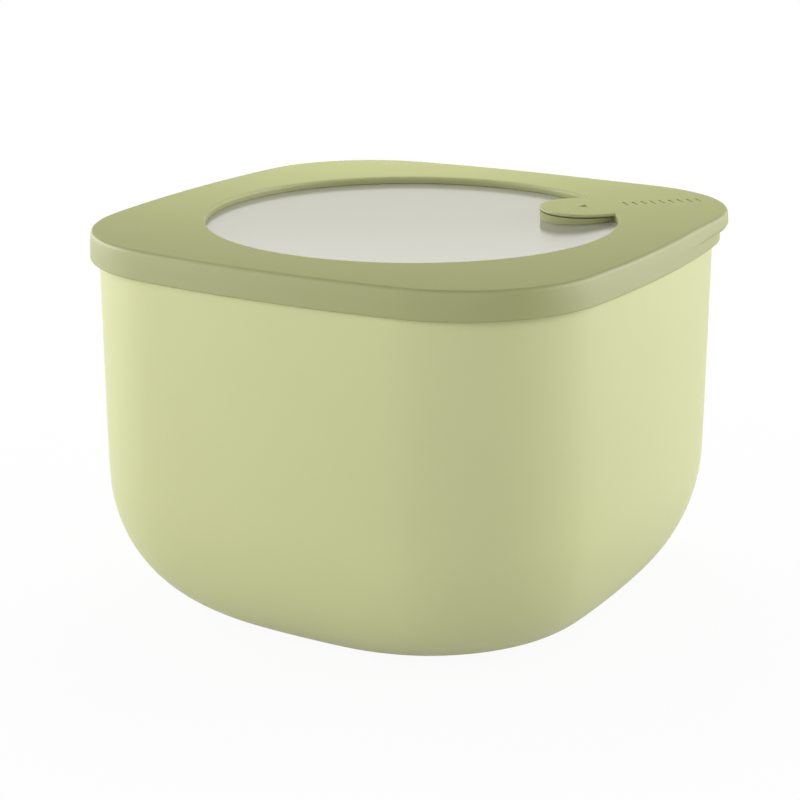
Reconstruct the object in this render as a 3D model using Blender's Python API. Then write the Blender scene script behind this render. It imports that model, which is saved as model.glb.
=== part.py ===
# Airtight food container: a deep tub with a rounded square mouth that closes to a round foot,
# and a soft framed lid with a round window, a seal ring, a corner pull lip and a vent flap.
# Metres, +Z up. The origin is the centre of the foot, on the surface that it stands on.

import math

import bmesh
import bpy
from mathutils import Vector

# Tub
TUB_WIDTH = 0.1852
TUB_HEIGHT = 0.1278
TUB_CORNER_RADIUS = 0.0544
FOOT_CORNER_RADIUS = 0.0581
TUB_WALL = 0.002
TUB_FLOOR = 0.0024
TUB_DRAFT = 0.0001
BOTTOM_ROUND_HEIGHT = 0.0498
BOTTOM_ROUND_INSET = 0.0331
FOOT_WIDTH = 0.008
FOOT_RECESS = 0.0008
FOOT_RECESS_SLOPE = 0.0008
RIM_EDGE_FILLET = 0.0004
RIM_FLARE_START = 0.0005
RIM_FLARE_HEIGHT = 0.0013
SIDE_BOW_RADIUS = 0.42

# Lid frame
LID_FLANGE = 0.0036
LID_CORNER_RADIUS = 0.0488
SKIRT_CORNER_RADIUS = 0.0512
SKIRT_HEIGHT = 0.0095
SKIRT_WALL = 0.0014
SKIRT_FLARE = 0.0008
SKIRT_EDGE_FILLET = 0.0004
LID_EDGE_FILLET = 0.0016
LID_WEB = 0.003
LID_BAND = 0.0235
LIP_REACH = 0.004
LIP_DEPTH = 0.0044
LIP_UNDER_FILLET = 0.0008
LIP_UNDER_SLOPE = 0.0004

# Plug wall under the lid, and the seal ring in its groove
PLUG_GAP = 0.0019
PLUG_WALL = 0.0028
PLUG_DEPTH = 0.011
PLUG_CHAMFER = 0.0004
GROOVE_TOP = 0.006
GROOVE_HEIGHT = 0.0032
GROOVE_DEPTH = 0.0014
SEAL_FIN_THICKNESS = 0.0003
SEAL_FIN_SLOPE = 0.0003
SEAL_CORE = 0.0014

# Window
WINDOW_EDGE_FILLET = 0.0009
PANE_RECESS = 0.0024
PANE_DISH = 0.003
PANE_CAP_RADIUS = 0.004
PANE_THICKNESS = 0.002
PANE_OVERLAP = 0.006
PANE_EDGE_CHAMFER = 0.0002
PANE_LIP_REACH = 0.002
PANE_LIP_THICKNESS = 0.0012
PANE_CHANNEL_WALL = 0.0019

# Vent flap, its plug and its seat
TAB_REACH = 0.0216
TAB_WIDTH = 0.03
TAB_THICKNESS = 0.0012
TAB_EDGE_FILLET = 0.0006
TAB_UNDER_FILLET = 0.0004
STUD_RADIUS = 0.0022
STUD_HEIGHT = 0.0006
PLUG_RADIUS = 0.0046
PLUG_TIP_RADIUS = 0.0032
PLUG_LENGTH = 0.0037
PLUG_COLLAR = 0.0006
SEAT_RADIUS = 0.0146
SEAT_NECK_WALL = 0.0011
SEAT_FOOT_REACH = 0.0025
SEAT_FOOT_THICKNESS = 0.0008

# The gap that keeps one piece clear of the piece it rests on or seats in.
CLEARANCE = 0.0003

# Counts and angles
SIDE_STEPS = 5
CORNER_STEPS = 6
FILLET_STEPS = 4
DISH_STEPS = 7
ROUND_STEPS = 11
HINGE_STEPS = 5
SEAT_ARC_STEPS = 28
SEAT_CHORD_STEPS = 6
TAB_ARC_STEPS = 20
TURN_STEPS = 28
TIP_STEPS = 4
LIP_HALF_ANGLE = math.radians(30)
VENT_DIRECTION = math.radians(45)
ROUND_EXPONENT = 2.086

# Sizes that follow from those above
TUB_HALF = TUB_WIDTH / 2
LID_TOP = TUB_HEIGHT + CLEARANCE + LID_FLANGE
SKIRT_BOTTOM = LID_TOP - SKIRT_HEIGHT
SKIRT_INNER_HALF = TUB_HALF + CLEARANCE
SKIRT_OUTER_HALF = SKIRT_INNER_HALF + SKIRT_WALL
LID_HALF = SKIRT_OUTER_HALF - SKIRT_FLARE
WINDOW_RADIUS = LID_HALF - LID_BAND
SKIRT_INNER_CORNER = SKIRT_CORNER_RADIUS - SKIRT_WALL
PANE_TOP = LID_TOP - PANE_RECESS
PANE_BOTTOM = PANE_TOP - PANE_THICKNESS
PANE_RADIUS = WINDOW_RADIUS + PANE_OVERLAP
BORE_RADIUS = PLUG_RADIUS + CLEARANCE
NECK_RADIUS = BORE_RADIUS + SEAT_NECK_WALL
HINGE_CHORD = math.sqrt(WINDOW_RADIUS ** 2 - (TAB_WIDTH / 2 + CLEARANCE) ** 2)
HINGE_LINE = HINGE_CHORD - CLEARANCE
TAB_CENTRE = HINGE_LINE - TAB_REACH + TAB_WIDTH / 2

BODY_GREEN = (0.60, 0.67, 0.38, 1)
LID_GREEN = (0.42, 0.45, 0.22, 1)
PANE_GREY = (0.66, 0.66, 0.58, 1)
SEAL_WHITE = (0.72, 0.73, 0.66, 1)


def clear_scene():
    for old in list(bpy.data.objects):
        bpy.data.objects.remove(old)


def plastic(name, colour, roughness):
    material = bpy.data.materials.new(name)
    material.use_nodes = True
    shader = material.node_tree.nodes["Principled BSDF"]
    shader.inputs["Base Color"].default_value = colour
    shader.inputs["Roughness"].default_value = roughness
    shader.inputs["Metallic"].default_value = 0
    return material


# Outlines seen from above. Every ring of the tub, the lid frame and the seal has its points
# at the same directions from the centre, so that one ring always meets the next.

def corner_centre(half, corner_radius):
    """How far along X and along Y a corner arc's centre lies, where it runs into the side arcs."""
    bow = half - SIDE_BOW_RADIUS
    return (bow + math.sqrt(2 * (SIDE_BOW_RADIUS - corner_radius) ** 2 - bow ** 2)) / 2


def outline_radius(half, corner_radius, direction):
    """Distance from the centre to a rounded square with slightly bowed sides."""
    corner_radius = min(corner_radius, half)
    centre = corner_centre(half, corner_radius)
    bow = half - SIDE_BOW_RADIUS
    quarter = math.pi / 2
    angle = abs((direction + quarter / 2) % quarter - quarter / 2)
    turn = math.atan2(centre, centre - bow)
    junction = math.atan2(SIDE_BOW_RADIUS * math.sin(turn), bow + SIDE_BOW_RADIUS * math.cos(turn))
    if angle <= junction:
        return bow * math.cos(angle) + math.sqrt(SIDE_BOW_RADIUS ** 2 - (bow * math.sin(angle)) ** 2)
    across = centre * (math.cos(angle) - math.sin(angle))
    return centre * (math.cos(angle) + math.sin(angle)) + math.sqrt(corner_radius ** 2 - across ** 2)


def ring_directions():
    """Directions of the points of a ring, close together round the four corners."""
    centre = corner_centre(LID_HALF, LID_CORNER_RADIUS)
    bow = LID_HALF - SIDE_BOW_RADIUS
    turn = math.atan2(centre, centre - bow)
    eighth = []
    for step in range(SIDE_STEPS):
        angle = turn * step / SIDE_STEPS
        eighth.append(math.atan2(SIDE_BOW_RADIUS * math.sin(angle), bow + SIDE_BOW_RADIUS * math.cos(angle)))
    for step in range(CORNER_STEPS):
        angle = turn + (math.pi / 4 - turn) * step / CORNER_STEPS
        x = centre + LID_CORNER_RADIUS * math.cos(angle)
        y = centre + LID_CORNER_RADIUS * math.sin(angle)
        eighth.append(math.atan2(y, x))
    quarter = eighth + [math.pi / 4] + [math.pi / 2 - angle for angle in reversed(eighth[1:])]
    return [angle + side * math.pi / 2 for side in range(4) for angle in quarter]


DIRECTIONS = ring_directions()
VENT_INDEX = DIRECTIONS.index(VENT_DIRECTION)


def square_ring(half, corner_radius, z):
    points = []
    for direction in DIRECTIONS:
        radius = outline_radius(half, corner_radius, direction)
        points.append(Vector((radius * math.cos(direction), radius * math.sin(direction), z)))
    return points


def round_ring(radius, z):
    return [Vector((radius * math.cos(angle), radius * math.sin(angle), z)) for angle in DIRECTIONS]


def lip_share(direction):
    """How much of the pull lip's reach the lid has in a direction, from 0 to 1 at the vent corner."""
    offset = abs(direction - VENT_DIRECTION)
    if offset >= LIP_HALF_ANGLE:
        return 0
    return math.cos(offset / LIP_HALF_ANGLE * math.pi / 2) ** 2


def lip_ring(half, corner_radius, reach, z):
    """A ring of the lid's edge that stands out by reach at the pull lip."""
    points = []
    for direction in DIRECTIONS:
        radius = outline_radius(half, corner_radius, direction) + reach * lip_share(direction)
        points.append(Vector((radius * math.cos(direction), radius * math.sin(direction), z)))
    return points


def window_ring(radius, z):
    """A round ring of the window's edge, cut straight where the vent flap is hinged."""
    points = round_ring(radius, z)
    half_width = TAB_WIDTH / 2 + CLEARANCE
    outward = Vector((math.cos(VENT_DIRECTION), math.sin(VENT_DIRECTION), 0))
    across = Vector((-math.sin(VENT_DIRECTION), math.cos(VENT_DIRECTION), 0))
    for step in range(-HINGE_STEPS, HINGE_STEPS + 1):
        place = outward * HINGE_CHORD + across * half_width * step / HINGE_STEPS
        points[VENT_INDEX + step] = Vector((place.x, place.y, z))
    return points


def fillet_offsets(radius, steps):
    """Inset and drop of the points of a quarter-round edge, from the flat top to the side."""
    offsets = []
    for step in range(steps + 1):
        angle = math.pi / 2 * step / steps
        offsets.append((radius * (1 - math.sin(angle)), radius * (1 - math.cos(angle))))
    return offsets


# Building solids from rings

def loft(name, rings, material, closed, parent=None):
    """A solid skinned over rings with the same number of points. A closed one has a hole through
    it, and its last ring meets its first. An open one has a flat cap at each end."""
    shape = bmesh.new()
    rows = [[shape.verts.new(point) for point in ring] for ring in rings]
    count = len(rows[0])
    pairs = list(zip(rows, rows[1:]))
    if closed:
        pairs.append((rows[-1], rows[0]))
    for lower, upper in pairs:
        for index in range(count):
            following = (index + 1) % count
            shape.faces.new((lower[index], lower[following], upper[following], upper[index]))
    if not closed:
        shape.faces.new(rows[0])
        shape.faces.new(rows[-1])
    bmesh.ops.recalc_face_normals(shape, faces=shape.faces)
    mesh = bpy.data.meshes.new(name)
    shape.to_mesh(mesh)
    shape.free()
    mesh.shade_smooth()
    mesh.set_sharp_from_angle(angle=math.radians(30))
    mesh.materials.append(material)
    solid = bpy.data.objects.new(name, mesh)
    bpy.context.collection.objects.link(solid)
    solid.parent = parent
    return solid


def hold_point(name, location, turn=0, parent=None):
    """An empty on a joint's axis, which the moving pieces hang from."""
    holder = bpy.data.objects.new(name, None)
    holder.location = location
    holder.rotation_euler = (0, 0, turn)
    holder.parent = parent
    bpy.context.collection.objects.link(holder)
    return holder


# Tub

def tub_profile():
    """Half width and height of the tub's outer face in its middle section, from the foot upwards:
    a superellipse that rolls out of the foot, then a nearly upright wall."""
    share = 2 / ROUND_EXPONENT
    wall_half = TUB_HALF - TUB_DRAFT
    points = []
    for step in range(ROUND_STEPS + 1):
        angle = math.pi / 2 * step / ROUND_STEPS
        inset = BOTTOM_ROUND_INSET * (1 - math.sin(angle) ** share)
        height = BOTTOM_ROUND_HEIGHT * (1 - max(math.cos(angle), 0) ** share)
        points.append((wall_half - inset, height))
    points.append((TUB_HALF, SKIRT_BOTTOM + RIM_FLARE_START))
    return points


def tub_corner(half):
    """The corner radius of the tub's outer face where it is this wide. It grows towards the foot,
    where the outline has become a circle."""
    inset = max(TUB_HALF - TUB_DRAFT - half, 0)
    return TUB_CORNER_RADIUS + (FOOT_CORNER_RADIUS - TUB_CORNER_RADIUS) * inset / BOTTOM_ROUND_INSET


def inward(profile, index):
    """Unit direction from a profile point into the wall."""
    before = profile[max(index - 1, 0)]
    after = profile[min(index + 1, len(profile) - 1)]
    along = Vector((after[0] - before[0], after[1] - before[1])).normalized()
    if index == 0:
        along = Vector((1, 0))
    return Vector((-along.y, along.x))


def container_body(material):
    profile = tub_profile()
    foot = profile[0][0]
    recess = foot - FOOT_WIDTH
    rings = [round_ring(recess - FOOT_RECESS_SLOPE, FOOT_RECESS), round_ring(recess, 0)]
    rings += [square_ring(half, tub_corner(half), z) for half, z in profile]
    flare_top = SKIRT_BOTTOM + RIM_FLARE_START + RIM_FLARE_HEIGHT
    rim_corner = SKIRT_INNER_CORNER - CLEARANCE
    rings.append(square_ring(TUB_HALF, rim_corner, flare_top))
    for inset, drop in reversed(fillet_offsets(RIM_EDGE_FILLET, 2)):
        rings.append(square_ring(TUB_HALF - inset, rim_corner - inset, TUB_HEIGHT - drop))
    inner_half = TUB_HALF - TUB_WALL
    inner_corner = TUB_CORNER_RADIUS - TUB_WALL
    for inset, drop in fillet_offsets(RIM_EDGE_FILLET, 2):
        rings.append(square_ring(inner_half + inset, inner_corner + inset, TUB_HEIGHT - drop))
    for index in reversed(range(len(profile) - 1)):
        half, z = profile[index]
        step = inward(profile, index)
        # The floor is a little thicker than the wall, and the thickness grows as the tub rounds in.
        wall = TUB_WALL + (TUB_FLOOR - TUB_WALL) * step.y
        shift = wall * step.x
        rings.append(square_ring(half + shift, tub_corner(half) + shift, z + wall * step.y))
    return loft("container_body", rings, material, closed=False)


# Lid frame

def lid_outer_rings():
    """The lid's top edge, pull lip and skirt, from the flat top down to the skirt's lower edge."""
    rings = []
    for inset, drop in fillet_offsets(LID_EDGE_FILLET, FILLET_STEPS):
        rings.append(lip_ring(LID_HALF - inset, LID_CORNER_RADIUS - inset, LIP_REACH, LID_TOP - drop))
    under = LIP_DEPTH + LIP_UNDER_FILLET
    lip_edge = (
        (LIP_DEPTH, LIP_REACH),
        (under, LIP_REACH - LIP_UNDER_FILLET),
        (under + LIP_UNDER_SLOPE, 0),
    )
    for drop, reach in lip_edge:
        share = drop / SKIRT_HEIGHT
        corner = LID_CORNER_RADIUS + (SKIRT_CORNER_RADIUS - LID_CORNER_RADIUS) * share
        rings.append(lip_ring(LID_HALF + SKIRT_FLARE * share, corner, reach, LID_TOP - drop))
    for inset, rise in reversed(fillet_offsets(SKIRT_EDGE_FILLET, 2)):
        rings.append(square_ring(SKIRT_OUTER_HALF - inset, SKIRT_CORNER_RADIUS - inset, SKIRT_BOTTOM + rise))
    return rings


def plug_rings():
    """The channel over the tub's rim, and the plug wall with its groove for the seal ring."""
    channel = LID_TOP - LID_FLANGE
    groove = LID_TOP - GROOVE_TOP
    groove_end = groove - GROOVE_HEIGHT
    bottom = LID_TOP - PLUG_DEPTH
    places = (
        (PLUG_GAP, channel),
        (PLUG_GAP, groove),
        (PLUG_GAP + GROOVE_DEPTH, groove),
        (PLUG_GAP + GROOVE_DEPTH, groove_end),
        (PLUG_GAP, groove_end),
        (PLUG_GAP, bottom + PLUG_CHAMFER),
        (PLUG_GAP + PLUG_CHAMFER, bottom),
        (PLUG_GAP + PLUG_WALL - PLUG_CHAMFER, bottom),
        (PLUG_GAP + PLUG_WALL, bottom + PLUG_CHAMFER),
        (PLUG_GAP + PLUG_WALL, LID_TOP - LID_WEB),
    )
    half = TUB_HALF - TUB_WALL
    corner = TUB_CORNER_RADIUS - TUB_WALL
    inner_corner = SKIRT_INNER_CORNER
    rings = [
        square_ring(SKIRT_INNER_HALF, inner_corner, SKIRT_BOTTOM),
        square_ring(SKIRT_INNER_HALF, inner_corner, channel),
    ]
    return rings + [square_ring(half - inset, corner - inset, z) for inset, z in places]


def pane_channel_rings():
    """The channel that grips the window pane's edge, then the window's inner edge up to the top."""
    channel_radius = PANE_RADIUS + CLEARANCE
    lip_radius = PANE_RADIUS - PANE_LIP_REACH
    lip_top = PANE_BOTTOM - CLEARANCE
    lip_bottom = lip_top - PANE_LIP_THICKNESS
    ledge = PANE_TOP + CLEARANCE
    rings = [
        round_ring(channel_radius + PANE_CHANNEL_WALL, LID_TOP - LID_WEB),
        round_ring(channel_radius + PANE_CHANNEL_WALL, lip_bottom),
        round_ring(lip_radius, lip_bottom),
        round_ring(lip_radius, lip_top),
        round_ring(channel_radius, lip_top),
        round_ring(channel_radius, ledge),
    ]
    rings.append(window_ring(WINDOW_RADIUS, ledge))
    for inset, drop in reversed(fillet_offsets(WINDOW_EDGE_FILLET, 2)):
        rings.append(window_ring(WINDOW_RADIUS + inset, LID_TOP - drop))
    return rings


def lid_frame(material, lid):
    rings = lid_outer_rings() + plug_rings() + pane_channel_rings()
    return loft("lid_frame", rings, material, closed=True, parent=lid)


def seal_ring(material, lid):
    """A soft ring with two fins that bear on the tub's inner wall."""
    top = LID_TOP - GROOVE_TOP - CLEARANCE
    bottom = LID_TOP - GROOVE_TOP - GROOVE_HEIGHT + CLEARANCE
    middle = (top + bottom) / 2
    back = PLUG_GAP + GROOVE_DEPTH - CLEARANCE
    front = back - SEAL_CORE
    tip = CLEARANCE
    fin = SEAL_FIN_SLOPE + SEAL_FIN_THICKNESS
    places = (
        (back, top),
        (front, top),
        (tip, top - SEAL_FIN_SLOPE),
        (tip, top - fin),
        (front, middle),
        (tip, bottom + fin),
        (tip, bottom + SEAL_FIN_SLOPE),
        (front, bottom),
        (back, bottom),
    )
    half = TUB_HALF - TUB_WALL
    corner = TUB_CORNER_RADIUS - TUB_WALL
    rings = [square_ring(half - inset, corner - inset, z) for inset, z in places]
    return loft("seal_ring", rings, material, closed=True, parent=lid)


def vent_place(distance):
    """A place on the line from the lid's centre to the vent corner."""
    return Vector((distance * math.cos(VENT_DIRECTION), distance * math.sin(VENT_DIRECTION), 0))


def circle(radius, z, angles):
    return [Vector((radius * math.cos(angle), radius * math.sin(angle), z)) for angle in angles]


def dish_drop(distance):
    """How far the dished part of the window pane lies below the pane's flat rim."""
    return PANE_DISH * (1 - min(distance / WINDOW_RADIUS, 1) ** 2)


def window_pane(material, lid):
    """A round clear pane, dished a little downwards, whose flat rim runs under the frame. It has a
    hole for the vent seat."""
    inner = PANE_RADIUS - PANE_EDGE_CHAMFER
    pitch = (WINDOW_RADIUS - PANE_CAP_RADIUS) / DISH_STEPS
    dish = [PANE_CAP_RADIUS + pitch * step for step in range(DISH_STEPS + 1)]
    rings = [round_ring(radius, PANE_BOTTOM - dish_drop(radius)) for radius in dish]
    rings += [
        round_ring(inner, PANE_BOTTOM),
        round_ring(PANE_RADIUS, PANE_BOTTOM + PANE_EDGE_CHAMFER),
        round_ring(PANE_RADIUS, PANE_TOP - PANE_EDGE_CHAMFER),
        round_ring(inner, PANE_TOP),
    ]
    rings += [round_ring(radius, PANE_TOP - dish_drop(radius)) for radius in reversed(dish)]
    pane = loft("window_pane", rings, material, closed=False, parent=lid)
    angles = [math.tau * step / TURN_STEPS for step in range(TURN_STEPS)]
    hole_radius = NECK_RADIUS + CLEARANCE
    ends = [PANE_BOTTOM - PANE_DISH - PANE_THICKNESS, PANE_TOP + PANE_THICKNESS]
    cutter = loft("vent_hole_cutter", [circle(hole_radius, z, angles) for z in ends], material, closed=False)
    cutter.location = vent_place(TAB_CENTRE)
    cutter.hide_render = True
    cutter.display_type = "WIRE"
    cut = pane.modifiers.new("vent_hole", "BOOLEAN")
    cut.operation = "DIFFERENCE"
    cut.solver = "EXACT"
    cut.object = cutter
    return pane


# Vent. Its pieces are drawn about the hinge: X points to the lid's corner, Y is the hinge's axis,
# and the flap reaches back along -X.

def seat_ring(radius, flat, z):
    """A ring of the vent seat, cut flat on the side of the hinge at the distance flat."""
    corner = math.acos(flat / SEAT_RADIUS)
    points = []
    for step in range(SEAT_ARC_STEPS):
        angle = corner + (math.tau - 2 * corner) * step / SEAT_ARC_STEPS
        points.append((angle, radius))
    for step in range(SEAT_CHORD_STEPS):
        angle = -corner + 2 * corner * step / SEAT_CHORD_STEPS
        points.append((angle, min(radius, flat / math.cos(angle))))
    return [Vector((r * math.cos(a), r * math.sin(a), z)) for a, r in points]


def follow_dish(ring):
    """Lowers a ring of the vent seat to the dished face of the pane."""
    return [point - Vector((0, 0, dish_drop(math.hypot(TAB_CENTRE + point.x, point.y)))) for point in ring]


def vent_seat(material, lid):
    """A soft grommet: a flange under the flap, a neck through the pane and a foot below it. The
    flange and the foot lie on the dished faces of the pane."""
    flat = HINGE_LINE - TAB_CENTRE
    flange_top = LID_TOP - TAB_THICKNESS - CLEARANCE
    flange_bottom = PANE_TOP + CLEARANCE
    foot_top = PANE_BOTTOM - CLEARANCE
    foot_bottom = foot_top - SEAT_FOOT_THICKNESS
    foot_radius = NECK_RADIUS + SEAT_FOOT_REACH
    top = ((BORE_RADIUS, flange_top), (SEAT_RADIUS, flange_top))
    below = (
        (SEAT_RADIUS, flange_bottom),
        (NECK_RADIUS, flange_bottom),
        (NECK_RADIUS, foot_top),
        (foot_radius, foot_top),
        (foot_radius, foot_bottom),
        (BORE_RADIUS, foot_bottom),
    )
    rings = [seat_ring(radius, flat, z) for radius, z in top]
    rings += [follow_dish(seat_ring(radius, flat, z)) for radius, z in below]
    seat = loft("vent_seat", rings, material, closed=True, parent=lid)
    seat.location = vent_place(TAB_CENTRE)
    seat.rotation_euler = (0, 0, VENT_DIRECTION)
    return seat


def tab_angles():
    """Directions of the points of the flap's outline from the middle of its round end."""
    half = TAB_WIDTH / 2
    root = HINGE_LINE - TAB_CENTRE
    corner = math.atan2(half, root)
    angles = [math.pi / 2 + math.pi * step / TAB_ARC_STEPS for step in range(TAB_ARC_STEPS + 1)]
    for step in range(HINGE_STEPS):
        angles.append(math.tau - corner + 2 * corner * step / (HINGE_STEPS - 1))
    return angles


def tab_ring(inset, z):
    """The flap's outline: a round end, two straight sides and a straight root on the hinge."""
    half = TAB_WIDTH / 2 - inset
    root = HINGE_LINE - TAB_CENTRE
    points = []
    for index, angle in enumerate(tab_angles()):
        if index <= TAB_ARC_STEPS:
            x = half * math.cos(angle)
            y = half * math.sin(angle)
        else:
            share = 2 * (index - TAB_ARC_STEPS - 1) / (HINGE_STEPS - 1) - 1
            x = root
            y = half * share
        points.append(Vector((x - root, y, z)))
    return points


def vent_tab(material, hinge):
    """The flap, flush with the lid's top, with a shallow socket below for the plug's stud."""
    root = HINGE_LINE - TAB_CENTRE
    socket = STUD_RADIUS + CLEARANCE
    socket_top = STUD_HEIGHT - TAB_THICKNESS
    rings = []
    for radius, z in ((socket, socket_top), (socket, -TAB_THICKNESS)):
        ring = circle(radius, z, tab_angles())
        rings.append([point - Vector((root, 0, 0)) for point in ring])
    rings.append(tab_ring(TAB_UNDER_FILLET, -TAB_THICKNESS))
    rings.append(tab_ring(0, TAB_UNDER_FILLET - TAB_THICKNESS))
    for inset, drop in reversed(fillet_offsets(TAB_EDGE_FILLET, 2)):
        rings.append(tab_ring(inset, -drop))
    return loft("vent_tab", rings, material, closed=False, parent=hinge)


def vent_plug(material, hinge):
    """A soft stopper that narrows downwards, so that it swings out of its bore with the flap."""
    angles = [math.tau * step / TURN_STEPS for step in range(TURN_STEPS)]
    top = -TAB_THICKNESS - CLEARANCE
    collar = top - PLUG_COLLAR
    bottom = top - PLUG_LENGTH
    stud_top = STUD_HEIGHT - TAB_THICKNESS - CLEARANCE
    sections = [(STUD_RADIUS, stud_top), (STUD_RADIUS, top), (PLUG_RADIUS, top)]
    for step in range(TIP_STEPS + 1):
        share = step / TIP_STEPS
        radius = PLUG_TIP_RADIUS + (PLUG_RADIUS - PLUG_TIP_RADIUS) * math.cos(share * math.pi / 2)
        sections.append((radius, collar + (bottom - collar) * share))
    rings = [circle(radius, z, angles) for radius, z in sections]
    plug = loft("vent_plug", rings, material, closed=False, parent=hinge)
    plug.location = (TAB_CENTRE - HINGE_LINE, 0, 0)
    return plug


def build_container():
    clear_scene()
    body_plastic = plastic("light_green_plastic", BODY_GREEN, 0.45)
    lid_plastic = plastic("olive_soft_plastic", LID_GREEN, 0.6)
    pane_plastic = plastic("frosted_clear_plastic", PANE_GREY, 0.15)
    seal_rubber = plastic("seal_silicone", SEAL_WHITE, 0.55)
    container_body(body_plastic)
    lid = hold_point("lid_lift", (0, 0, 0))
    lid_frame(lid_plastic, lid)
    window_pane(pane_plastic, lid)
    seal_ring(seal_rubber, lid)
    vent_seat(lid_plastic, lid)
    hinge = hold_point("vent_hinge", vent_place(HINGE_LINE) + Vector((0, 0, LID_TOP)), VENT_DIRECTION, lid)
    vent_tab(lid_plastic, hinge)
    vent_plug(seal_rubber, hinge)


build_container()
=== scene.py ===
# The looks of the food container: a satin green tub, and a soft olive lid with a glossy window and
# a vent flap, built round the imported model. Metres, +Z up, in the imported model's own frame.

import math

import bmesh
import bpy
from mathutils import Matrix, Vector
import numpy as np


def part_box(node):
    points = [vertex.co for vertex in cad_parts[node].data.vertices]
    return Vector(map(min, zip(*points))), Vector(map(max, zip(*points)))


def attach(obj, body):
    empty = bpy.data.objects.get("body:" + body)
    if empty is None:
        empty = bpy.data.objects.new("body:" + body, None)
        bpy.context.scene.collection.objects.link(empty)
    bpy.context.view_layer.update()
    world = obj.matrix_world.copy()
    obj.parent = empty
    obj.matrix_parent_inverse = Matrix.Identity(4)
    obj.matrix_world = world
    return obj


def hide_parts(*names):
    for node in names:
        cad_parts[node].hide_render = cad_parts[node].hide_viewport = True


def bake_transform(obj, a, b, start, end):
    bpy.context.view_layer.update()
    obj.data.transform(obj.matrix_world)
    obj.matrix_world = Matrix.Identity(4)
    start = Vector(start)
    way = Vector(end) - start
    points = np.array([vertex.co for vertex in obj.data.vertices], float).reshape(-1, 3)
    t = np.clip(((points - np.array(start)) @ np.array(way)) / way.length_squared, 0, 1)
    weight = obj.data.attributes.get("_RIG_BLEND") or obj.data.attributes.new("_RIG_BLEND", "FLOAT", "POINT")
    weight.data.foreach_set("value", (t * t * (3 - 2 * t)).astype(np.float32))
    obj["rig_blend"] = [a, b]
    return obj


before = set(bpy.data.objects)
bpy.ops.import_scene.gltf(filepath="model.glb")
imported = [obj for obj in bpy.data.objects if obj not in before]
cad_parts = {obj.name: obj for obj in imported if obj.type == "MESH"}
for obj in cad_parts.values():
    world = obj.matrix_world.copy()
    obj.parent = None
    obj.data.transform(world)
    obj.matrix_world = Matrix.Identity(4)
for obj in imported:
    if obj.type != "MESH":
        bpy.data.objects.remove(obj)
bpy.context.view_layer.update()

# Places that the lid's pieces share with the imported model. The vent lies on the line from the
# lid's centre to its pulled corner, and the flap bends at the far end of HINGE_CHORD.
LID_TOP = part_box("lid_frame")[1].z
PANE_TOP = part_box("window_pane")[1].z
VENT_TURN = math.radians(45)
QUARTER_TURN = math.radians(90)
WINDOW_RADIUS = 0.07
PANE_DISH = 0.003
HINGE_CHORD = 0.0683075

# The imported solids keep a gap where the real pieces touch. The lip of the lid's frame and the
# flange of the grommet are lowered by it, and by a hair more, so that they touch the window.
CONTACT_GAP = 0.0003
CONTACT_SINK = 0.00002
FLANGE_MIDDLE_DEPTH = 0.0016

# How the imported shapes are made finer
MERGE_DISTANCE = 0.000002
QUAD_ANGLE = math.radians(60)
LEVEL_RISE = 5 * MERGE_DISTANCE
ROUND_SHARE = 0.7
KEPT_EDGE_ANGLE = math.radians(12)
KEPT_CORNER_ANGLE = math.radians(25)
FULL_CREASE = 1.0
SMOOTH_ANGLE = math.radians(50)
FLAT_FACE_WEIGHT = 100
PLAIN_ROUNDING = 1
FINE_ROUNDING = 2

# The heights between which the tub's wall rolls in to its foot, and the moulding gate under it
WALL_ROLL = (0.001, 0.06)
FOOT_RECESS = 0.0008
GATE_SIDES = 48
GATE_RADIUS = 0.0032
GATE_DEPTH = 0.0004

# Flap root, which bends
BEND_LENGTH = 0.0026
BEND_LOOPS = 6

# Grip lines on the pull corner, and the small arrow on the flap
GRIP_START = 0.0775
GRIP_PITCH = 0.0034
GRIP_COUNT = 9
GRIP_LENGTH = 0.0052
GRIP_WIDTH = 0.0009
GRIP_DEPTH = 0.00035
GRIP_ROUNDING = 0.49
GRIP_ROUNDING_STEPS = 4
ARROW_PLACE = 0.0620
ARROW_SIDES = 3
ARROW_RADIUS = 0.0024
ARROW_DEPTH = 0.0005

# What every moulded plastic here shares: soft clouds of colour, fine grain with a slow flow under
# it, and edges that are rubbed in patches. FACES_ are heights of the surface's normal: 0 faces
# sideways, and 1 faces up.
CLOUDS = dict(scale=14.0, detail=3.0, roughness=0.55)
CLOUD_RANGE = (0.3, 0.7)
GRAIN = dict(detail=3.0, roughness=0.6)
GRAIN_RANGE = (0.25, 0.75)
GRAIN_SWING = (-0.5, 0.5)
FLOW = dict(scale=160.0, detail=2.0, roughness=0.5)
FLOW_SHARE = 0.35
PATCHES = dict(scale=220.0, detail=4.0, roughness=0.6)
PATCH_RANGE = (0.35, 0.65)
FACES_OFF_SIDE = (0.15, 0.45)
FACES_NEARLY_UP = (0.85, 0.985)
FACES_UP = (0.6, 0.97)
RUBBED_ROUGHNESS = -0.12

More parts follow.
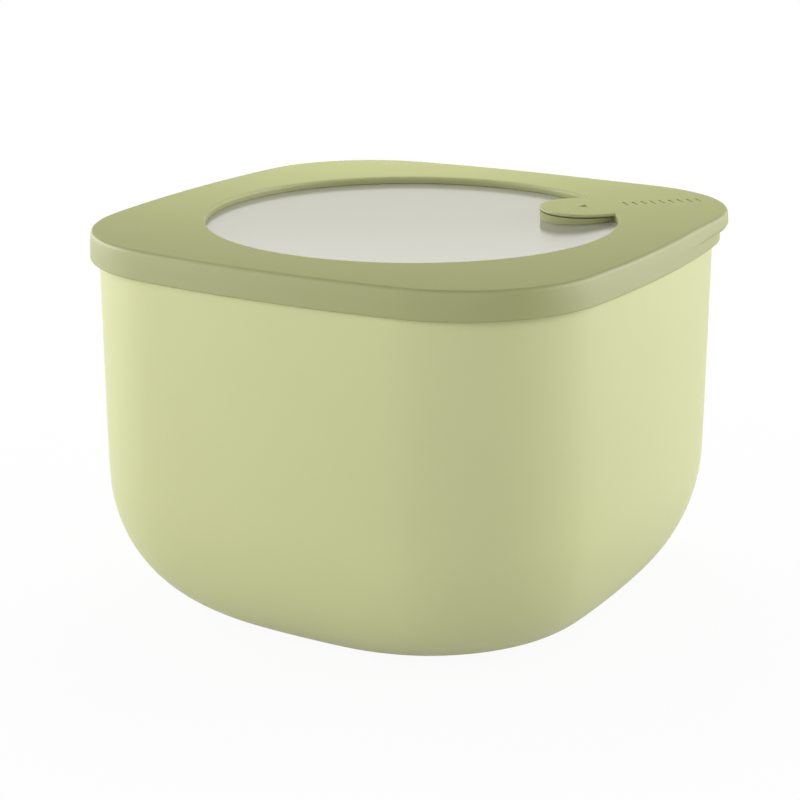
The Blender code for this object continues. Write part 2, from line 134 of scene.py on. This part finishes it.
# Each material slot's finish. Grain scale is in lumps per metre, and grain height in metres.
FINISHES = {
    "body_plastic": dict(
        name="satin_green_plastic",
        colour=(0.591, 0.614, 0.313, 1), clouded=(0.579, 0.602, 0.305, 1),
        worn=(0.64, 0.66, 0.37, 1), polish=0.5,
        roughness=0.42, roughness_spread=0.08, grain_scale=2600.0, grain_height=0.00001,
    ),
    "lid_plastic": dict(
        name="soft_olive_plastic",
        colour=(0.318, 0.333, 0.132, 1), clouded=(0.31, 0.325, 0.128, 1),
        worn=(0.37, 0.384, 0.172, 1), polish=0.12,
        roughness=0.52, roughness_spread=0.1, grain_scale=1900.0, grain_height=0.000016,
        specular=0.75, matt_top=0.42,
    ),
    "pane_plastic": dict(
        name="glossy_window_plastic",
        colour=(0.26, 0.26, 0.205, 1), clouded=(0.255, 0.255, 0.2, 1),
        worn=(0.3, 0.3, 0.25, 1), polish=0.2,
        roughness=0.15, roughness_spread=0.03, grain_scale=900.0, grain_height=0.0000005,
    ),
    "seal_rubber": dict(
        name="seal_silicone",
        colour=(0.70, 0.71, 0.62, 1), clouded=(0.67, 0.68, 0.59, 1),
        worn=(0.74, 0.75, 0.68, 1), polish=0.3,
        roughness=0.5, roughness_spread=0.1, grain_scale=1500.0, grain_height=0.00001,
    ),
}

# Floor. It glows white to the camera, a little less so in a ring round the container, where its
# shadow shows, and it is mirrored in the container at MIRRORED_GLOW.
FLOOR_SIDES = 96
FLOOR_RADIUS = 6
FLOOR_GREY = (0.72, 0.72, 0.72, 1)
FLOOR_ROUGHNESS = 0.9
SHADOW_RING = (0.08, 0.3)
SHADOW_GLOW = 0.94
MIRRORED_GLOW = 0.4

# Lamps round the container, turned anticlockwise seen from above from 0 in front, along -Y, to 90
# along +X. Angles in degrees, power in watts.
LAMP_AIM = Vector((0, 0, 0.07))
SOFTBOX_DISTANCE = 1.1
SOFTBOX_SIZE = 0.8
WHITE = (1, 1, 1)
SOFTBOXES = {
    "left_front_softbox": dict(azimuth=-30, elevation=15, power=4.0),
    "left_softbox": dict(azimuth=-60, elevation=15, power=2.7),
    "left_back_softbox": dict(azimuth=-90, elevation=15, power=7.7),
    "front_softbox": dict(azimuth=30, elevation=20, power=4.5),
    "right_softbox": dict(azimuth=120, elevation=15, power=8.8),
    "right_back_softbox": dict(azimuth=150, elevation=15, power=3.2),
    "back_softbox": dict(azimuth=210, elevation=20, power=0.33, colour=(1, 0.99, 0.78),
                         spread_angle=110),
    "near_back_softbox": dict(azimuth=210, elevation=50, power=0.72, distance=0.3, size=0.25,
                              mirrored=False),
}

# Camera, fitted to the photograph. AIM_RIGHT and AIM_UP are in the picture's own directions, and
# LENS and SENSOR_WIDTH in millimetres.
VIEW_AZIMUTH = math.radians(30.276)
VIEW_ELEVATION = math.radians(17.069)
VIEW_DISTANCE = 0.72367
AIM_RIGHT = -0.00389
AIM_UP = 0.06311
LENS = 90.652
SENSOR_WIDTH = 36
NEAREST_SEEN = 0.01
FARTHEST_SEEN = 50


# Modelling helpers

def deselect_all():
    """Deselects every object, so that an operator acts only on what comes next."""
    bpy.ops.object.select_all(action="DESELECT")


def pick(piece):
    """Selects one piece alone and makes it the active one."""
    deselect_all()
    piece.select_set(True)
    bpy.context.view_layer.objects.active = piece


def edit(piece):
    """Opens a piece in edit mode with nothing selected."""
    pick(piece)
    bpy.ops.object.mode_set(mode="EDIT")
    bpy.ops.mesh.select_all(action="DESELECT")


def leave_edit():
    """Goes back to object mode."""
    bpy.ops.object.mode_set(mode="OBJECT")


def select_edges(piece, wanted):
    """In edit mode, selects the edges that wanted() says yes to."""
    shape = bmesh.from_edit_mesh(piece.data)
    for edge in shape.edges:
        edge.select_set(wanted(edge))
    bmesh.update_edit_mesh(piece.data)


def select_points(piece, wanted):
    """In edit mode, selects the points that wanted() says yes to."""
    bpy.ops.mesh.select_mode(type="VERT")
    shape = bmesh.from_edit_mesh(piece.data)
    for point in shape.verts:
        point.select_set(wanted(point.co))
    shape.select_flush_mode()
    bmesh.update_edit_mesh(piece.data)


def apply(piece, kind, name, **settings):
    """Adds a modifier with these settings and applies it."""
    pick(piece)
    modifier = piece.modifiers.new(name, kind)
    for key, value in settings.items():
        setattr(modifier, key, value)
    bpy.ops.object.modifier_apply(modifier=name)


def copy_of_node(node, name):
    """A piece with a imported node's shape, its loose triangles joined up into quads again."""
    piece = bpy.data.objects.new(name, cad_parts[node].data.copy())
    piece.data.name = name
    piece.data.materials.clear()
    bpy.context.collection.objects.link(piece)
    pick(piece)
    bpy.ops.mesh.customdata_custom_splitnormals_clear()
    edit(piece)
    bpy.ops.mesh.select_all(action="SELECT")
    bpy.ops.mesh.remove_doubles(threshold=MERGE_DISTANCE)
    bpy.ops.mesh.tris_convert_to_quads(face_threshold=QUAD_ANGLE, shape_threshold=QUAD_ANGLE)
    leave_edit()
    return piece


def runs_round(edge):
    """Whether an edge runs round the piece, and not up it or across it."""
    low, high = (point.co for point in edge.verts)
    along = high - low
    out = Vector((low.x + high.x, low.y + high.y, 0)).normalized()
    return abs(along.z) < LEVEL_RISE and abs(along.dot(out)) < ROUND_SHARE * along.length


def smooth_outline(piece, levels, free_zone=None):
    """Rounds the piece's outline by subdivision, and holds its folds and corners where they are.
    Between the heights in free_zone the wall is rounded both ways."""
    edit(piece)
    shape = bmesh.from_edit_mesh(piece.data)
    layers = shape.edges.layers.float
    crease = layers.get("crease_edge") or layers.new("crease_edge")
    for edge in shape.edges:
        if len(edge.link_faces) != 2:
            continue
        height = (edge.verts[0].co.z + edge.verts[1].co.z) / 2
        if free_zone and free_zone[0] < height < free_zone[1]:
            continue
        fold = edge.calc_face_angle()
        limit = KEPT_EDGE_ANGLE if runs_round(edge) else KEPT_CORNER_ANGLE
        if fold > limit:
            edge[crease] = FULL_CREASE
    bmesh.update_edit_mesh(piece.data)
    leave_edit()
    apply(piece, "SUBSURF", "rounding", levels=levels, render_levels=levels)


def finish_surface(piece):
    """Smooth shading that leaves flat faces flat next to their rounded edges."""
    pick(piece)
    bpy.ops.object.shade_smooth_by_angle(angle=SMOOTH_ANGLE)
    apply(piece, "WEIGHTED_NORMAL", "flat_faces_stay_flat", keep_sharp=True,
          weight=FLAT_FACE_WEIGHT)


def cut_away(piece, cutter, name):
    """Cuts the cutter's shape out of the piece, and removes the cutter."""
    apply(piece, "BOOLEAN", name, operation="DIFFERENCE", solver="EXACT", object=cutter)
    bpy.data.objects.remove(cutter)


def on_vent_line(distance, height):
    """A place above the line from the lid's centre to the vent corner."""
    return Vector((distance * math.cos(VENT_TURN), distance * math.sin(VENT_TURN), height))


def window_height(place):
    """The height of the dished window's upper face at a place."""
    return PANE_TOP - PANE_DISH * (1 - min(place.xy.length / WINDOW_RADIUS, 1) ** 2)


def dress(piece, body, slot, node):
    """Puts a finished piece in place of a node, with its slot's material. It rides on the body,
    or on none where it bends between two."""
    piece.data.materials.clear()
    piece.data.materials.append(materials[slot])
    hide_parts(node)
    if body:
        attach(piece, body)


# Pieces

def make_tub():
    """The tub with a smooth wall, a rounded bottom and a moulding gate under its foot."""
    tub = copy_of_node("container_body", "tub")
    smooth_outline(tub, FINE_ROUNDING, free_zone=WALL_ROLL)
    deselect_all()
    bpy.ops.mesh.primitive_cylinder_add(vertices=GATE_SIDES, radius=GATE_RADIUS,
                                        depth=2 * GATE_DEPTH, location=(0, 0, FOOT_RECESS))
    gate = bpy.context.object
    cut_away(tub, gate, "gate")
    finish_surface(tub)
    return tub


def make_grip_cutter():
    """Short round-ended bars in a row, sunk a little way into the lid's top."""
    bars = []
    for index in range(GRIP_COUNT):
        deselect_all()
        place = on_vent_line(GRIP_START + index * GRIP_PITCH, LID_TOP)
        bpy.ops.mesh.primitive_cube_add(size=1, location=place, rotation=(0, 0, VENT_TURN),
                                        scale=(GRIP_WIDTH, GRIP_LENGTH, 2 * GRIP_DEPTH))
        bar = bpy.context.object
        bpy.ops.object.transform_apply(location=False, rotation=False, scale=True)
        edit(bar)
        select_edges(bar, lambda edge: abs(edge.verts[0].co.z - edge.verts[1].co.z) > GRIP_DEPTH)
        bpy.ops.mesh.bevel(offset=GRIP_WIDTH * GRIP_ROUNDING, segments=GRIP_ROUNDING_STEPS)
        leave_edit()
        bars.append(bar)
    deselect_all()
    for bar in bars:
        bar.select_set(True)
    bpy.context.view_layer.objects.active = bars[0]
    bpy.ops.object.join()
    return bars[0]


def make_lid():
    """The lid's soft frame, with grip lines on the corner that is pulled. The lip of its round
    opening is lowered onto the window."""
    lid = copy_of_node("lid_frame", "lid")
    edit(lid)
    select_points(lid, lambda place: PANE_TOP < place.z < PANE_TOP + 2 * CONTACT_GAP
                  and place.xy.length < WINDOW_RADIUS + CONTACT_GAP)
    bpy.ops.transform.translate(value=(0, 0, -CONTACT_GAP - CONTACT_SINK))
    leave_edit()
    smooth_outline(lid, FINE_ROUNDING)
    cut_away(lid, make_grip_cutter(), "grip_lines")
    finish_surface(lid)
    return lid


def make_flap():
    """The vent flap, one with the lid's frame at its root, where it bends."""
    flap = copy_of_node("vent_tab", "vent_flap")
    outward = on_vent_line(1, 0)
    root = HINGE_CHORD - CONTACT_GAP
    edit(flap)
    select_points(flap, lambda place: place.dot(outward) > root - CONTACT_GAP / 2)
    bpy.ops.transform.translate(value=outward * CONTACT_GAP)
    for loop in range(1, BEND_LOOPS + 1):
        bpy.ops.mesh.select_all(action="SELECT")
        place = outward * (HINGE_CHORD - BEND_LENGTH * loop / BEND_LOOPS)
        bpy.ops.mesh.bisect(plane_co=place, plane_no=outward)
    leave_edit()
    smooth_outline(flap, FINE_ROUNDING)
    deselect_all()
    bpy.ops.mesh.primitive_cylinder_add(vertices=ARROW_SIDES, radius=ARROW_RADIUS,
                                        depth=2 * ARROW_DEPTH,
                                        location=on_vent_line(ARROW_PLACE, LID_TOP),
                                        rotation=(0, 0, VENT_TURN + QUARTER_TURN))
    arrow = bpy.context.object
    cut_away(flap, arrow, "arrow")
    finish_surface(flap)
    return flap


def make_grommet():
    """The soft grommet of the vent. The underside of its flange is lowered onto the dished
    window, and the flange's top stays."""
    grommet = copy_of_node("vent_seat", "vent_grommet")
    flange_middle = LID_TOP - FLANGE_MIDDLE_DEPTH
    edit(grommet)
    select_points(grommet, lambda place: window_height(place) < place.z < flange_middle)
    bpy.ops.transform.translate(value=(0, 0, -CONTACT_GAP - CONTACT_SINK))
    leave_edit()
    smooth_outline(grommet, PLAIN_ROUNDING)
    finish_surface(grommet)
    return grommet


def make_smooth_copy(node, name, levels):
    """A piece that needs nothing but a rounder outline than its node has."""
    piece = copy_of_node(node, name)
    smooth_outline(piece, levels)
    finish_surface(piece)
    return piece


# Material helpers

def new_group(name, inputs, outputs):
    """A shader node group with sockets given as name: (kind, default)."""
    group = bpy.data.node_groups.new(name, "ShaderNodeTree")
    for title, (kind, value) in inputs.items():
        socket = group.interface.new_socket(title, in_out="INPUT", socket_type=kind)
        if value is not None:
            socket.default_value = value
    for title, kind in outputs.items():
        group.interface.new_socket(title, in_out="OUTPUT", socket_type=kind)
    nodes = group.nodes
    return group, nodes.new("NodeGroupInput"), nodes.new("NodeGroupOutput")


def place_group(tree, group, values, links):
    """A group's node in a material, with its own values and links by socket name."""
    node = tree.nodes.new("ShaderNodeGroup")
    node.node_tree = group
    for title, value in values.items():
        node.inputs[title].default_value = value
    for title, socket in links.items():
        tree.links.new(socket, node.inputs[title])
    return node


def feed(tree, socket, given):
    """Links a socket to another one, or else sets it to a value."""
    if isinstance(given, bpy.types.NodeSocket):
        tree.links.new(given, socket)
    else:
        socket.default_value = given


def noise(tree, coordinates, scale, detail, roughness):
    """Smooth noise round 0.5, with so many lumps per metre."""
    node = tree.nodes.new("ShaderNodeTexNoise")
    for title, given in (("Vector", coordinates), ("Scale", scale), ("Detail", detail),
                         ("Roughness", roughness)):
        feed(tree, node.inputs[title], given)
    return node.outputs["Fac"]


def rescale(tree, value, low, high, to_low=0.0, to_high=1.0):
    """Maps a value from one range to another, held at the ends."""
    node = tree.nodes.new("ShaderNodeMapRange")
    for title, given in (("Value", value), ("From Min", low), ("From Max", high),
                         ("To Min", to_low), ("To Max", to_high)):
        feed(tree, node.inputs[title], given)
    return node.outputs["Result"]


def maths(tree, operation, *values):
    """One sum on two values, or on three where they are multiplied and added."""
    node = tree.nodes.new("ShaderNodeMath")
    node.operation = operation
    for socket, given in zip(node.inputs, values):
        feed(tree, socket, given)
    return node.outputs["Value"]


def mix_colour(tree, share, first, second):
    """A share of the second colour over the first."""
    node = tree.nodes.new("ShaderNodeMix")
    node.data_type = "RGBA"
    for title, given in (("Factor", share), ("A", first), ("B", second)):
        feed(tree, node.inputs[title], given)
    return node.outputs["Result"]


# Materials

def make_moulded_plastic():
    """Colour that clouds a little over the surface, the fine spark-eroded grain of the mould as a
    height, and a gloss that varies with the grain."""
    group, given, out = new_group(
        "moulded_plastic",
        {
            "Place": ("NodeSocketVector", None),
            "Colour": ("NodeSocketColor", (0.5, 0.5, 0.5, 1)),
            "Clouded Colour": ("NodeSocketColor", (0.5, 0.5, 0.5, 1)),
            "Grain Scale": ("NodeSocketFloat", 2500.0),
            "Roughness": ("NodeSocketFloat", 0.5),
            "Roughness Spread": ("NodeSocketFloat", 0.05),
        },
        {"Colour": "NodeSocketColor", "Roughness": "NodeSocketFloat", "Height": "NodeSocketFloat"},
    )
    place = given.outputs["Place"]
    clouds = rescale(group, noise(group, place, **CLOUDS), *CLOUD_RANGE)
    colour = mix_colour(group, clouds, given.outputs["Colour"], given.outputs["Clouded Colour"])
    grain = noise(group, place, given.outputs["Grain Scale"], **GRAIN)
    speckle = rescale(group, grain, *GRAIN_RANGE, *GRAIN_SWING)
    rough = maths(group, "MULTIPLY_ADD", speckle, given.outputs["Roughness Spread"],
                  given.outputs["Roughness"])
    flow = noise(group, place, **FLOW)
    height = maths(group, "MULTIPLY_ADD", flow, FLOW_SHARE, grain)
    group.links.new(colour, out.inputs["Colour"])
    group.links.new(rough, out.inputs["Roughness"])
    group.links.new(height, out.inputs["Height"])
    return group


def make_edge_polish():
    """A mask for the rounded edges that hands rub, where the surface turns from up to outwards,
    and another for the faces that look up."""
    group, given, out = new_group(
        "edge_polish",
        {
            "Place": ("NodeSocketVector", None),
            "Facing": ("NodeSocketVector", None),
            "Amount": ("NodeSocketFloat", 1.0),
        },
        {"Mask": "NodeSocketFloat", "Top": "NodeSocketFloat"},
    )
    axes = group.nodes.new("ShaderNodeSeparateXYZ")
    group.links.new(given.outputs["Facing"], axes.inputs["Vector"])
    up = axes.outputs["Z"]
    leaves_side = rescale(group, up, *FACES_OFF_SIDE)
    short_of_top = rescale(group, up, *FACES_NEARLY_UP, 1.0, 0.0)
    patches = rescale(group, noise(group, given.outputs["Place"], **PATCHES), *PATCH_RANGE)
    mask = maths(group, "MULTIPLY", leaves_side, short_of_top)
    mask = maths(group, "MULTIPLY", mask, patches)
    mask = maths(group, "MULTIPLY", mask, given.outputs["Amount"])
    group.links.new(mask, out.inputs["Mask"])
    group.links.new(rescale(group, up, *FACES_UP), out.inputs["Top"])
    return group


def moulded_material(groups, name, colour, clouded, worn, polish, roughness, roughness_spread,
                     grain_scale, grain_height, specular=0.5, matt_top=0.0):
    """One moulded plastic: grain, clouding, edges that are rubbed a little paler and smoother, and
    faces that look up and come duller out of the mould by matt_top."""
    material = bpy.data.materials.new(name)
    material.use_nodes = True
    tree = material.node_tree
    shader = tree.nodes["Principled BSDF"]
    place = tree.nodes.new("ShaderNodeTexCoord")
    plastic = place_group(
        tree, groups["plastic"],
        {"Colour": colour, "Clouded Colour": clouded, "Grain Scale": grain_scale,
         "Roughness": roughness, "Roughness Spread": roughness_spread},
        {"Place": place.outputs["Object"]},
    )
    edges = place_group(
        tree, groups["edges"], {"Amount": polish},
        {"Place": place.outputs["Object"], "Facing": place.outputs["Normal"]},
    )
    rubbed_colour = mix_colour(tree, edges.outputs["Mask"], plastic.outputs["Colour"], worn)
    rubbed_rough = maths(tree, "MULTIPLY_ADD", edges.outputs["Mask"], RUBBED_ROUGHNESS,
                         plastic.outputs["Roughness"])
    rough = maths(tree, "MULTIPLY_ADD", edges.outputs["Top"], matt_top, rubbed_rough)
    bump = tree.nodes.new("ShaderNodeBump")
    bump.inputs["Distance"].default_value = grain_height
    bump.inputs["Strength"].default_value = 1.0
    tree.links.new(plastic.outputs["Height"], bump.inputs["Height"])
    tree.links.new(rubbed_colour, shader.inputs["Base Color"])
    tree.links.new(rough, shader.inputs["Roughness"])
    tree.links.new(bump.outputs["Normal"], shader.inputs["Normal"])
    shader.inputs["Specular IOR Level"].default_value = specular
    return material


# Stage

def make_floor():
    """A plain floor that shows white to the camera and keeps the container's shadow."""
    deselect_all()
    bpy.ops.mesh.primitive_circle_add(vertices=FLOOR_SIDES, radius=FLOOR_RADIUS,
                                      fill_type="NGON", location=(0, 0, 0))
    floor = bpy.context.object
    floor.name = "floor"
    material = bpy.data.materials.new("studio_floor")
    material.use_nodes = True
    tree = material.node_tree
    shader = tree.nodes["Principled BSDF"]
    shader.inputs["Base Color"].default_value = FLOOR_GREY
    shader.inputs["Roughness"].default_value = FLOOR_ROUGHNESS
    shader.inputs["Specular IOR Level"].default_value = 0.0
    glow = tree.nodes.new("ShaderNodeEmission")
    glow.inputs["Strength"].default_value = 1.0
    path = tree.nodes.new("ShaderNodeLightPath")
    mirrored = maths(tree, "MULTIPLY", path.outputs["Is Glossy Ray"], MIRRORED_GLOW)
    seen = maths(tree, "MAXIMUM", path.outputs["Is Camera Ray"], mirrored)
    seen = maths(tree, "MAXIMUM", seen, path.outputs["Is Transmission Ray"])
    place = tree.nodes.new("ShaderNodeTexCoord")
    reach = tree.nodes.new("ShaderNodeVectorMath")
    reach.operation = "LENGTH"
    tree.links.new(place.outputs["Object"], reach.inputs[0])
    ring = rescale(tree, reach.outputs["Value"], *SHADOW_RING, SHADOW_GLOW, 1.0)
    blend = tree.nodes.new("ShaderNodeMixShader")
    tree.links.new(maths(tree, "MULTIPLY", seen, ring), blend.inputs[0])
    tree.links.new(shader.outputs["BSDF"], blend.inputs[1])
    tree.links.new(glow.outputs["Emission"], blend.inputs[2])
    tree.links.new(blend.outputs["Shader"], tree.nodes["Material Output"].inputs["Surface"])
    floor.data.materials.append(material)


def make_world():
    """White behind the container, also where it is mirrored. It puts no light on the container
    itself, which is left to the lamps."""
    world = bpy.data.worlds.new("studio")
    bpy.context.scene.world = world
    world.use_nodes = True
    tree = world.node_tree
    background = tree.nodes["Background"]
    background.inputs["Color"].default_value = (*WHITE, 1)
    path = tree.nodes.new("ShaderNodeLightPath")
    seen = maths(tree, "MAXIMUM", path.outputs["Is Camera Ray"], path.outputs["Is Glossy Ray"])
    seen = maths(tree, "MAXIMUM", seen, path.outputs["Is Transmission Ray"])
    tree.links.new(seen, background.inputs["Strength"])


def direction(azimuth, elevation):
    """The direction from the container to what stands this far round it and this high."""
    return Vector((math.sin(azimuth) * math.cos(elevation),
                   -math.cos(azimuth) * math.cos(elevation), math.sin(elevation)))


def softbox(name, azimuth, elevation, power, distance=SOFTBOX_DISTANCE, size=SOFTBOX_SIZE,
            colour=WHITE, spread_angle=180, mirrored=True):
    """A square lamp that faces the container, and shows in its gloss where it is mirrored."""
    lamp = bpy.data.lights.new(name, "AREA")
    lamp.shape = "SQUARE"
    lamp.size = size
    lamp.energy = power
    lamp.color = colour
    lamp.spread = math.radians(spread_angle)
    holder = bpy.data.objects.new(name, lamp)
    bpy.context.collection.objects.link(holder)
    away = direction(math.radians(azimuth), math.radians(elevation))
    holder.location = LAMP_AIM + away * distance
    holder.rotation_mode = "QUATERNION"
    holder.rotation_quaternion = away.to_track_quat("Z", "Y")
    holder.visible_camera = False
    holder.visible_glossy = mirrored


def make_camera():
    """The camera where the photograph was taken from."""
    lens = bpy.data.cameras.new("camera")
    lens.lens = LENS
    lens.sensor_width = SENSOR_WIDTH
    lens.clip_start = NEAREST_SEEN
    lens.clip_end = FARTHEST_SEEN
    camera = bpy.data.objects.new("camera", lens)
    bpy.context.collection.objects.link(camera)
    right = Vector((math.cos(VIEW_AZIMUTH), math.sin(VIEW_AZIMUTH), 0))
    back = direction(VIEW_AZIMUTH, VIEW_ELEVATION)
    up = back.cross(right)
    camera.location = right * AIM_RIGHT + up * AIM_UP + back * VIEW_DISTANCE
    camera.rotation_mode = "QUATERNION"
    camera.rotation_quaternion = Matrix((right, up, back)).transposed().to_quaternion()
    bpy.context.scene.camera = camera


# Putting it together

groups = {"plastic": make_moulded_plastic(), "edges": make_edge_polish()}
materials = {slot: moulded_material(groups, **finish) for slot, finish in FINISHES.items()}

dress(make_tub(), "tub", "body_plastic", "container_body")
dress(make_lid(), "lid", "lid_plastic", "lid_frame")
dress(make_smooth_copy("seal_ring", "seal", PLAIN_ROUNDING), "lid", "seal_rubber", "seal_ring")
dress(make_grommet(), "lid", "lid_plastic", "vent_seat")
stopper = make_smooth_copy("vent_plug", "vent_stopper", PLAIN_ROUNDING)
dress(stopper, "flap", "seal_rubber", "vent_plug")
flap = make_flap()
dress(flap, None, "lid_plastic", "vent_tab")
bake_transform(flap, "lid", "flap", on_vent_line(HINGE_CHORD, LID_TOP),
         on_vent_line(HINGE_CHORD - BEND_LENGTH, LID_TOP))
window = make_smooth_copy("window_pane", "window", FINE_ROUNDING)
dress(window, "lid", "pane_plastic", "window_pane")

make_floor()
make_world()
for name, settings in SOFTBOXES.items():
    softbox(name, **settings)
make_camera()
bpy.context.scene.view_settings.view_transform = "Standard"
